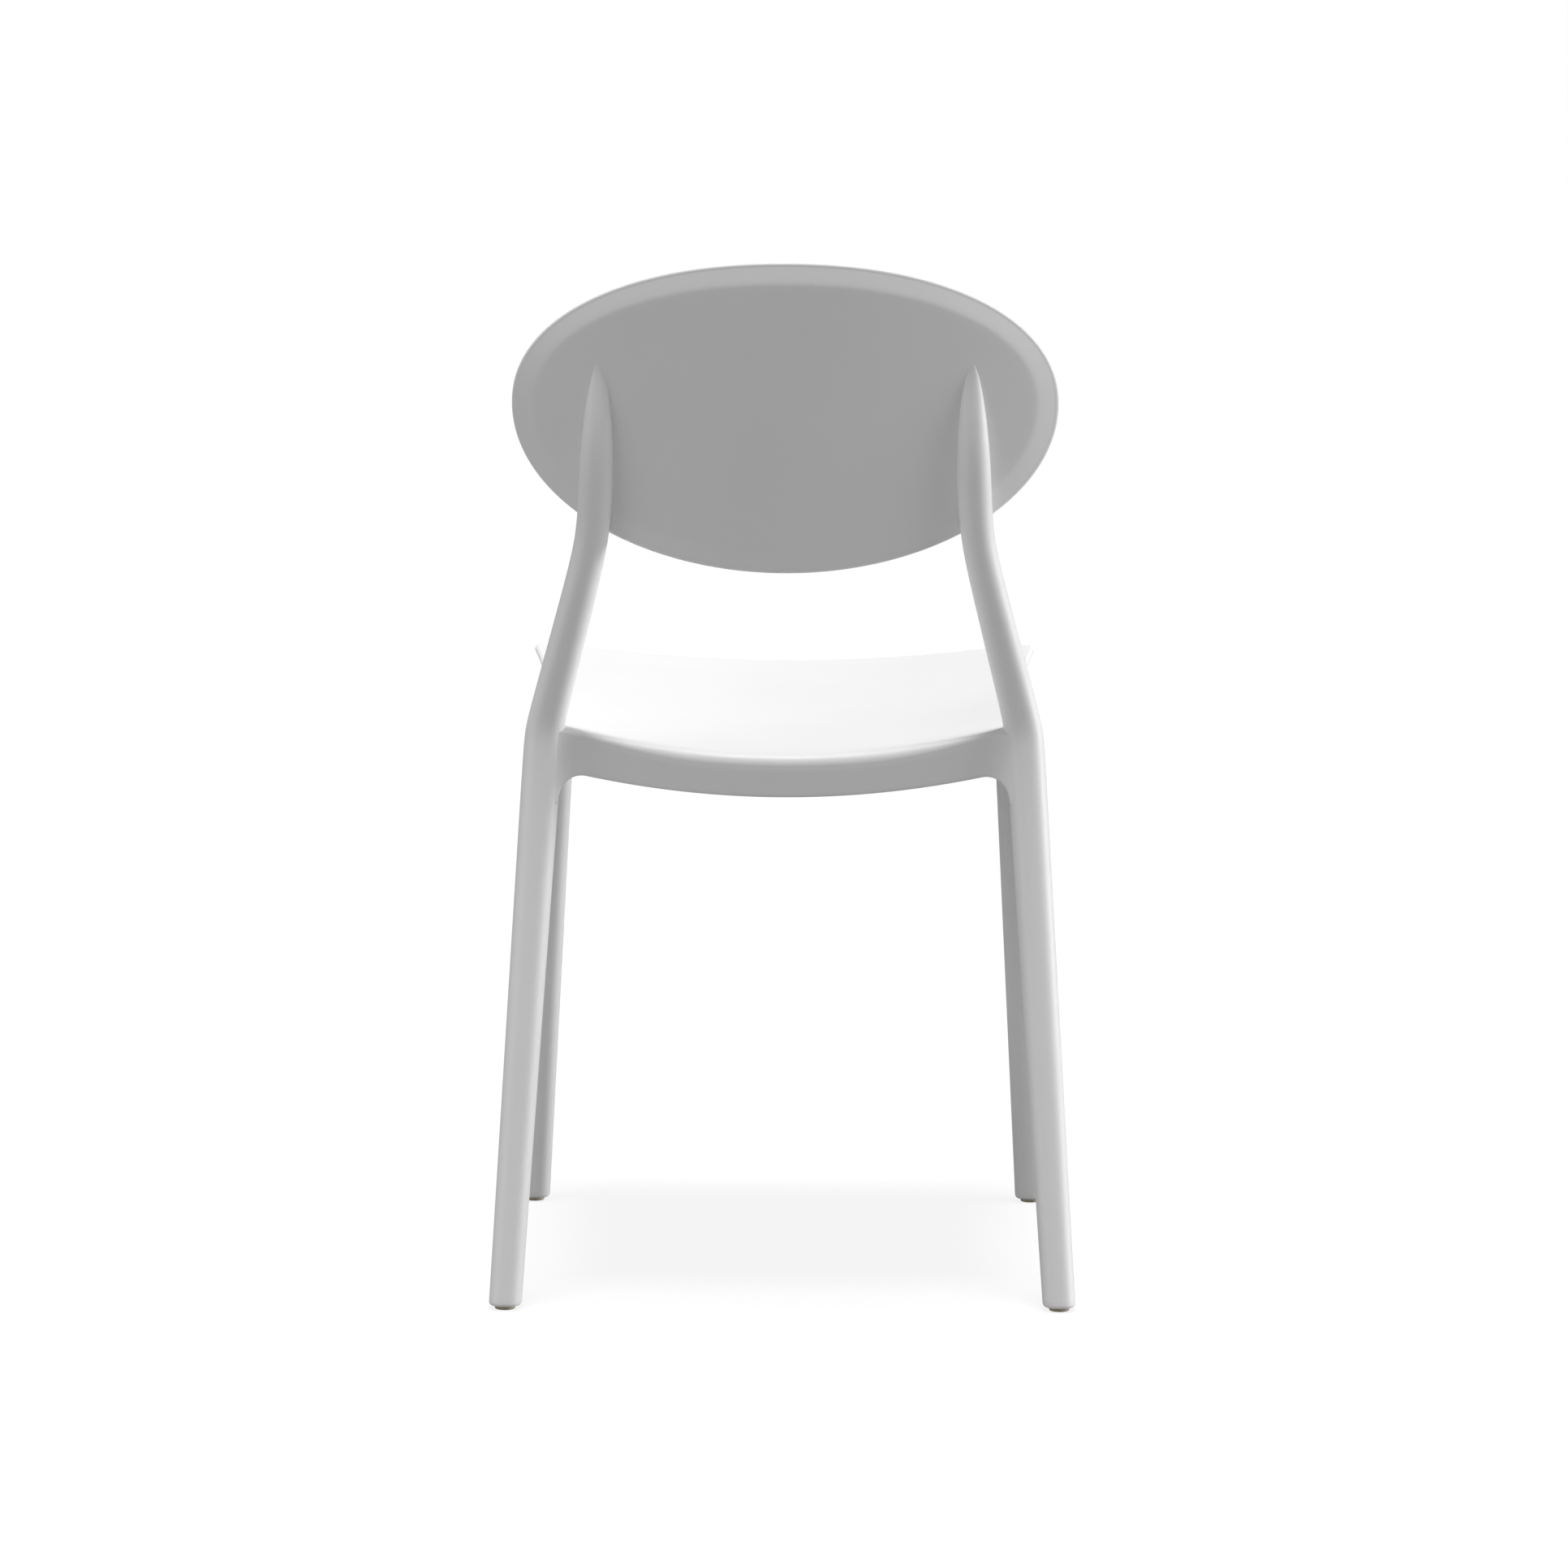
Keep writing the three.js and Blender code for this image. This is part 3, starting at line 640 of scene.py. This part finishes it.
def seat_rib(node):
    """A rib under the seat: a slim rounded-rectangle section, thinner towards its foot, carried from
    front to back with its top sunk into the seat's underside."""
    x_place = middle(node).x
    y = np.linspace(low(node).y - RIB_SINK, high(node).y + RIB_SINK, RIB_STEPS)
    turn = np.linspace(0, 2 * math.pi, AROUND_RIB, endpoint=False)
    across = signed_power(np.cos(turn), RIB_SIDE_POWER)
    upward = signed_power(np.sin(turn), RIB_EDGE_POWER)
    top = seat_top(x_place, y) - SEAT_THICKNESS + RIB_SINK
    half_depth = (RIB_DEPTH + RIB_SINK) / 2
    z = top[:, None] - half_depth + half_depth * upward
    taper = mix(RIB_ROOT_TAPER, RIB_FOOT_TAPER, (1 - upward) / 2)
    x = x_place + np.broadcast_to(RIB_HALF_THICKNESS * across * taper, z.shape)
    rings = np.stack([x, np.broadcast_to(y[:, None], z.shape), z], axis=-1)
    return closed_surface(node + "_moulded", rings)


# ---- Back ----

def back_panel(name):
    """The back panel as one skin of oval rings: over the rear face, down the bevelled rim, round
    the thin edge and over the front face."""
    turn = np.linspace(0, 2 * math.pi, AROUND_PANEL, endpoint=False)

    def ring(inset, share, offset):
        """The oval brought in by inset and shrunk to share, at an offset from the panel's middle."""
        x, rise = oval(turn, inset)
        x = x * share
        z = BACK_WIDEST_Z + rise * share
        return np.stack([x, back_middle(x, z) + offset, z], axis=-1)

    def rear_offset(inset):
        """How far the rear face lies behind the panel's middle at an inset."""
        return BACK_THICKNESS / 2 - rim_fall(inset)

    face_inset = RIM_WIDTH + 3 * RIM_SOFTNESS
    face_offset = rear_offset(face_inset)
    rear_edge = rear_offset(EDGE_ROUND)
    front_edge = -BACK_THICKNESS / 2
    nose_middle = (rear_edge + front_edge) / 2
    nose_half = (rear_edge - front_edge) / 2
    rings = []
    for share in np.linspace(MIDDLE_SHARE, 1, FACE_RINGS):
        rings.append(ring(face_inset, share, face_offset))
    for inset in np.linspace(face_inset, EDGE_ROUND, RIM_RINGS)[1:]:
        rings.append(ring(inset, 1, rear_offset(inset)))
    for angle in np.linspace(0, math.pi, PANEL_EDGE_RINGS)[1:]:
        inset = EDGE_ROUND * (1 - math.sin(angle))
        rings.append(ring(inset, 1, nose_middle + nose_half * math.cos(angle)))
    for inset in np.linspace(EDGE_ROUND, face_inset, FRONT_RIM_RINGS)[1:]:
        rings.append(ring(inset, 1, front_edge))
    for share in np.linspace(1, MIDDLE_SHARE, FACE_RINGS)[1:]:
        rings.append(ring(face_inset, share, front_edge))
    return closed_surface(name, np.array(rings))


# ---- Glides ----

def glide(node):
    """A glide turned about its upright axis: a shallow ring groove in the underside, a rounded
    disc edge, and the stem that goes up into the foot."""
    place = middle(node)
    top = high(node).z
    quarter = np.linspace(0, math.pi / 2, GLIDE_QUARTER_STEPS)
    groove = np.linspace(0, 1, GROOVE_STEPS)
    underside_r = np.concatenate([[AXIS_RADIUS], mix(GROOVE_INNER, GROOVE_OUTER, groove)])
    underside_z = np.concatenate([[0], GROOVE_DEPTH * np.sin(math.pi * groove) ** 2])
    lower_r = GLIDE_RADIUS - GLIDE_ROUND + GLIDE_ROUND * np.sin(quarter)
    lower_z = GLIDE_ROUND * (1 - np.cos(quarter))
    upper_r = GLIDE_RADIUS - GLIDE_TOP_ROUND * (1 - np.cos(quarter))
    upper_z = GLIDE_THICKNESS - GLIDE_TOP_ROUND + GLIDE_TOP_ROUND * np.sin(quarter)
    stem_r = [STEM_RADIUS, STEM_RADIUS, STEM_RADIUS, STEM_RADIUS - STEM_CHAMFER, AXIS_RADIUS]
    stem_z = [GLIDE_THICKNESS, GLIDE_THICKNESS + STEM_CHAMFER, top - STEM_CHAMFER, top, top]
    radius = np.concatenate([underside_r, lower_r, upper_r, stem_r])
    z = np.concatenate([underside_z, lower_z, upper_z, stem_z])
    turn = np.linspace(0, 2 * math.pi, AROUND_GLIDE, endpoint=False)
    x = place.x + radius[:, None] * np.cos(turn)
    y = place.y + radius[:, None] * np.sin(turn)
    rings = np.stack([x, y, np.broadcast_to(z[:, None], x.shape)], axis=-1)
    return closed_surface(node + "_turned", rings)


# ---- Materials ----

def node_at(tree, kind, place, **settings):
    """Adds a node of a kind at a place, with its settings."""
    node = tree.nodes.new(kind)
    node.location = place
    for key, value in settings.items():
        setattr(node, key, value)
    return node


def fine_grain_group():
    """Satin mould texture: a fine and a coarser noise mixed into one height, and a slow mask for
    small changes of tone and gloss."""
    group = bpy.data.node_groups.new("satin_grain", "ShaderNodeTree")
    face = group.interface
    face.new_socket("Grain Scale", in_out="INPUT", socket_type="NodeSocketFloat")
    face.new_socket("Height", in_out="OUTPUT", socket_type="NodeSocketFloat")
    face.new_socket("Drift", in_out="OUTPUT", socket_type="NodeSocketFloat")
    given = node_at(group, "NodeGroupInput", (-900, 0))
    result = node_at(group, "NodeGroupOutput", (600, 0))
    place = node_at(group, "ShaderNodeTexCoord", (-900, -300))
    fine = node_at(group, "ShaderNodeTexNoise", (-500, 100))
    fine.inputs["Detail"].default_value = 3
    coarse = node_at(group, "ShaderNodeTexNoise", (-500, -150))
    coarse.inputs["Scale"].default_value = 260
    coarse.inputs["Detail"].default_value = 2
    drift = node_at(group, "ShaderNodeTexNoise", (-500, -400))
    drift.inputs["Scale"].default_value = 6
    drift.inputs["Detail"].default_value = 4
    blend = node_at(group, "ShaderNodeMix", (-150, 0), data_type="FLOAT")
    blend.inputs["Factor"].default_value = 0.35
    link = group.links.new
    link(place.outputs["Object"], fine.inputs["Vector"])
    link(place.outputs["Object"], coarse.inputs["Vector"])
    link(place.outputs["Object"], drift.inputs["Vector"])
    link(given.outputs["Grain Scale"], fine.inputs["Scale"])
    link(fine.outputs["Fac"], blend.inputs["A"])
    link(coarse.outputs["Fac"], blend.inputs["B"])
    link(blend.outputs["Result"], result.inputs["Height"])
    link(drift.outputs["Fac"], result.inputs["Drift"])
    return group


def rubbed_edge_group():
    """Mask of the corners that hands and stacking have polished: convex places, by the surface's
    pointiness up to a given sharpness, broken up by a soft noise."""
    group = bpy.data.node_groups.new("rubbed_edges", "ShaderNodeTree")
    group.interface.new_socket("Sharpness", in_out="INPUT", socket_type="NodeSocketFloat")
    group.interface.new_socket("Wear", in_out="OUTPUT", socket_type="NodeSocketFloat")
    given = node_at(group, "NodeGroupInput", (-900, 300))
    result = node_at(group, "NodeGroupOutput", (500, 0))
    shape = node_at(group, "ShaderNodeNewGeometry", (-900, 100))
    place = node_at(group, "ShaderNodeTexCoord", (-900, -300))
    edge = node_at(group, "ShaderNodeMapRange", (-500, 150))
    edge.inputs["From Min"].default_value = 0.503
    patch = node_at(group, "ShaderNodeTexNoise", (-600, -200))
    patch.inputs["Scale"].default_value = 42
    patch.inputs["Detail"].default_value = 3
    broken = node_at(group, "ShaderNodeMapRange", (-300, -200))
    broken.inputs["From Min"].default_value = 0.35
    broken.inputs["From Max"].default_value = 0.65
    both = node_at(group, "ShaderNodeMath", (100, 0), operation="MULTIPLY")
    link = group.links.new
    link(shape.outputs["Pointiness"], edge.inputs["Value"])
    link(given.outputs["Sharpness"], edge.inputs["From Max"])
    link(place.outputs["Object"], patch.inputs["Vector"])
    link(patch.outputs["Fac"], broken.inputs["Value"])
    link(edge.outputs["Result"], both.inputs[0])
    link(broken.outputs["Result"], both.inputs[1])
    link(both.outputs["Value"], result.inputs["Wear"])
    return group


def handling_group():
    """Marks of use: hairline scratches, which are the peaks of a noise drawn out long and thin and
    kept to some patches, and soft smudges, which are the patches themselves."""
    group = bpy.data.node_groups.new("handling_marks", "ShaderNodeTree")
    group.interface.new_socket("Scratch Scale", in_out="INPUT", socket_type="NodeSocketFloat")
    group.interface.new_socket("Scratches", in_out="OUTPUT", socket_type="NodeSocketFloat")
    group.interface.new_socket("Smudges", in_out="OUTPUT", socket_type="NodeSocketFloat")
    given = node_at(group, "NodeGroupInput", (-1100, 300))
    result = node_at(group, "NodeGroupOutput", (500, 0))
    place = node_at(group, "ShaderNodeTexCoord", (-1100, 0))
    drawn_out = node_at(group, "ShaderNodeMapping", (-850, 150))
    drawn_out.inputs["Rotation"].default_value = (0.4, 0.7, 0.5)
    drawn_out.inputs["Scale"].default_value = (1, 26, 9)
    streak = node_at(group, "ShaderNodeTexNoise", (-600, 150))
    streak.inputs["Detail"].default_value = 2
    peaks = node_at(group, "ShaderNodeMapRange", (-350, 150))
    peaks.inputs["From Min"].default_value = 0.66
    peaks.inputs["From Max"].default_value = 0.74
    smudge = node_at(group, "ShaderNodeTexNoise", (-600, -200))
    smudge.inputs["Scale"].default_value = 14
    smudge.inputs["Detail"].default_value = 5
    patches = node_at(group, "ShaderNodeMapRange", (-350, -200))
    patches.inputs["From Min"].default_value = 0.48
    patches.inputs["From Max"].default_value = 0.72
    kept = node_at(group, "ShaderNodeMath", (0, 100), operation="MULTIPLY")
    link = group.links.new
    link(place.outputs["Object"], drawn_out.inputs["Vector"])
    link(drawn_out.outputs["Vector"], streak.inputs["Vector"])
    link(given.outputs["Scratch Scale"], streak.inputs["Scale"])
    link(streak.outputs["Fac"], peaks.inputs["Value"])
    link(place.outputs["Object"], smudge.inputs["Vector"])
    link(smudge.outputs["Fac"], patches.inputs["Value"])
    link(peaks.outputs["Result"], kept.inputs[0])
    link(patches.outputs["Result"], kept.inputs[1])
    link(kept.outputs["Value"], result.inputs["Scratches"])
    link(patches.outputs["Result"], result.inputs["Smudges"])
    return group


def added(tree, place, mask, amount, onto):
    """Adds a mask times an amount onto another value."""
    sum_node = node_at(tree, "ShaderNodeMath", place, operation="MULTIPLY_ADD")
    sum_node.inputs[1].default_value = amount
    tree.links.new(mask, sum_node.inputs[0])
    tree.links.new(onto, sum_node.inputs[2])
    return sum_node.outputs["Value"]


def plastic(name, groups, light, dark, gloss, grain_scale, grain_depth):
    """A moulded plastic: two close tones that drift into each other, darker by a trace in smudges
    and lighter on rubbed edges. The roughness drifts with them, drops on rubbed edges and rises in
    smudges and scratches. The normal has a fine grain, crossed by scratches."""
    grain, rubbed, handled = groups
    material = bpy.data.materials.new(name)
    material.use_nodes = True
    tree = material.node_tree
    tree.nodes.clear()
    link = tree.links.new
    effect = node_at(tree, "ShaderNodeGroup", (-1100, 0), node_tree=grain)
    effect.inputs["Grain Scale"].default_value = grain_scale
    edges = node_at(tree, "ShaderNodeGroup", (-1100, 250), node_tree=rubbed)
    edges.inputs["Sharpness"].default_value = EDGE_SHARPNESS
    marks = node_at(tree, "ShaderNodeGroup", (-1100, -250), node_tree=handled)
    marks.inputs["Scratch Scale"].default_value = SCRATCH_SCALE
    wear = edges.outputs["Wear"]
    smudges = marks.outputs["Smudges"]
    scratches = marks.outputs["Scratches"]
    drift = added(tree, (-850, 350), wear, WEAR_TONE, effect.outputs["Drift"])
    drift = added(tree, (-650, 350), smudges, SMUDGE_TONE, drift)
    tone = node_at(tree, "ShaderNodeMix", (-400, 200), data_type="RGBA")
    tone.inputs["A"].default_value = (*dark, 1)
    tone.inputs["B"].default_value = (*light, 1)
    rough = node_at(tree, "ShaderNodeMapRange", (-400, -50))
    rough.inputs["To Min"].default_value = gloss[0]
    rough.inputs["To Max"].default_value = gloss[1]
    bump = node_at(tree, "ShaderNodeBump", (-400, -300))
    bump.inputs["Strength"].default_value = GRAIN_STRENGTH
    bump.inputs["Distance"].default_value = grain_depth
    shader = node_at(tree, "ShaderNodeBsdfPrincipled", (0, 0))
    shader.inputs["IOR"].default_value = PLASTIC_IOR
    output = node_at(tree, "ShaderNodeOutputMaterial", (300, 0))
    roughness = added(tree, (-200, -50), wear, WEAR_ROUGHNESS, rough.outputs["Result"])
    roughness = added(tree, (-200, -100), smudges, SMUDGE_ROUGHNESS, roughness)
    roughness = added(tree, (-200, -150), scratches, SCRATCH_ROUGHNESS, roughness)
    height = added(tree, (-650, -300), scratches, SCRATCH_HEIGHT, effect.outputs["Height"])
    link(drift, tone.inputs["Factor"])
    link(effect.outputs["Drift"], rough.inputs["Value"])
    link(height, bump.inputs["Height"])
    link(tone.outputs["Result"], shader.inputs["Base Color"])
    link(roughness, shader.inputs["Roughness"])
    link(bump.outputs["Normal"], shader.inputs["Normal"])
    link(shader.outputs["BSDF"], output.inputs["Surface"])
    return material


# ---- Stage ----

def floor():
    """A wide floor, painted pale and lit from within so that shadows on it stay light. It throws
    less light back on the chair than it shows."""
    bpy.ops.mesh.primitive_plane_add(size=FLOOR_SIZE, location=(0, 0, 0))
    plane = bpy.context.object
    plane.name = "studio_floor"
    material = bpy.data.materials.new("floor_paint")
    material.use_nodes = True
    tree = material.node_tree
    tree.nodes.clear()
    ray = node_at(tree, "ShaderNodeLightPath", (-600, 300))
    seen = node_at(tree, "ShaderNodeBsdfDiffuse", (-300, 100))
    seen.inputs["Color"].default_value = FLOOR_TONE
    glow = node_at(tree, "ShaderNodeEmission", (-300, 250))
    glow.inputs["Color"].default_value = WHITE
    bounce = node_at(tree, "ShaderNodeBsdfDiffuse", (-300, -100))
    bounce.inputs["Color"].default_value = FLOOR_BOUNCE
    pale = node_at(tree, "ShaderNodeMixShader", (0, 150))
    pale.inputs["Fac"].default_value = FLOOR_GLOW_SHARE
    choose = node_at(tree, "ShaderNodeMixShader", (250, 0))
    output = node_at(tree, "ShaderNodeOutputMaterial", (500, 0))
    tree.links.new(seen.outputs["BSDF"], pale.inputs[1])
    tree.links.new(glow.outputs["Emission"], pale.inputs[2])
    tree.links.new(ray.outputs["Is Camera Ray"], choose.inputs["Fac"])
    tree.links.new(bounce.outputs["BSDF"], choose.inputs[1])
    tree.links.new(pale.outputs["Shader"], choose.inputs[2])
    tree.links.new(choose.outputs["Shader"], output.inputs["Surface"])
    plane.data.materials.append(material)


def soft_sun(name, towards, spread, power):
    """Even soft daylight from a direction, its shadows softened by a wide spread in degrees."""
    lamp = bpy.data.lights.new(name, "SUN")
    lamp.angle = math.radians(spread)
    lamp.energy = power
    sun = bpy.data.objects.new(name, lamp)
    sun.rotation_euler = Vector(towards).to_track_quat("Z", "Y").to_euler()
    bpy.context.scene.collection.objects.link(sun)


def sky():
    """An even, faintly cool surround that the camera sees as the same pale tone as the floor."""
    world = bpy.data.worlds.new("studio")
    bpy.context.scene.world = world
    world.use_nodes = True
    tree = world.node_tree
    tree.nodes.clear()
    seen = node_at(tree, "ShaderNodeBackground", (0, 100))
    seen.inputs["Color"].default_value = WHITE
    seen.inputs["Strength"].default_value = 1.0
    cast = node_at(tree, "ShaderNodeBackground", (0, -100))
    cast.inputs["Color"].default_value = SKY_CAST
    cast.inputs["Strength"].default_value = SKY_CAST_STRENGTH
    ray = node_at(tree, "ShaderNodeLightPath", (0, 400))
    choose = node_at(tree, "ShaderNodeMixShader", (300, 0))
    output = node_at(tree, "ShaderNodeOutputWorld", (600, 0))
    tree.links.new(ray.outputs["Is Camera Ray"], choose.inputs["Fac"])
    tree.links.new(cast.outputs["Background"], choose.inputs[1])
    tree.links.new(seen.outputs["Background"], choose.inputs[2])
    tree.links.new(choose.outputs["Shader"], output.inputs["Surface"])


def camera():
    """Square behind the chair, a little above its back, looking down by a few degrees and rolled by a
    trace."""
    lens = bpy.data.cameras.new("view_from_behind")
    lens.sensor_width = CAMERA_SENSOR
    lens.lens = CAMERA_LENS
    lens.clip_end = CAMERA_REACH
    eye = bpy.data.objects.new("view_from_behind", lens)
    eye.location = CAMERA_PLACE
    pitch = math.radians(90 - CAMERA_DOWN)
    turn = Euler((pitch, 0, math.radians(180)), "XYZ").to_matrix().to_4x4()
    roll = Euler((0, 0, math.radians(CAMERA_ROLL)), "XYZ").to_matrix().to_4x4()
    eye.rotation_euler = (turn @ roll).to_euler()
    bpy.context.scene.collection.objects.link(eye)
    bpy.context.scene.camera = eye


def finish_piece(piece, material, slot, *nodes):
    """Gives a piece its material, hides the CAD nodes it stands for and sets it on the frame."""
    piece.data.materials.append(material)
    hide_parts(*nodes)
    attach(piece, "root")


def build():
    """Makes every piece and the stage."""
    groups = fine_grain_group(), rubbed_edge_group(), handling_group()
    white = plastic(
        "white_satin_plastic",
        groups,
        light=(0.876, 0.872, 0.874),
        dark=(0.838, 0.833, 0.834),
        gloss=(0.42, 0.56),
        grain_scale=1500,
        grain_depth=0.1 * MM,
    )
    cream = plastic(
        "cream_glide_plastic",
        groups,
        light=(0.66, 0.58, 0.44),
        dark=(0.5, 0.42, 0.3),
        gloss=(0.3, 0.45),
        grain_scale=900,
        grain_depth=0.05 * MM,
    )
    aprons = [f"apron_{place}" for place in ("front", "rear", "left", "right")]
    finish_piece(seat_tub("seat_and_apron"), white, "moulded_plastic", "seat_shell", *aprons)
    finish_piece(back_panel("oval_back"), white, "moulded_plastic", "backrest_panel")
    for side, name in ((1, "left"), (-1, "right")):
        upright = rear_upright(side, f"rear_upright_{name}")
        finish_piece(upright, white, "moulded_plastic", f"rear_leg_{name}", f"back_post_{name}")
        leg = front_leg(side, f"front_leg_{name}_moulded")
        finish_piece(leg, white, "moulded_plastic", f"front_leg_{name}")
        for end in ("front", "rear"):
            node = f"glide_{end}_{name}"
            finish_piece(glide(node), cream, "glide_plastic", node)
    for place in ("centre", "inner_left", "inner_right", "outer_left", "outer_right"):
        node = f"seat_rib_{place}"
        finish_piece(seat_rib(node), white, "moulded_plastic", node)
    floor()
    sky()
    soft_sun("right", towards=(-1.0, -0.25, 0.05), spread=22, power=1.9)
    soft_sun("right_fill", towards=(-1.0, 0.12, 0.2), spread=30, power=0.75)
    soft_sun("left", towards=(1.0, 0.5, 0.25), spread=40, power=0.5)
    soft_sun("top", towards=(0, 0.1, 1.0), spread=14, power=2.62)
    camera()
    bpy.context.scene.view_settings.view_transform = "Standard"


build()
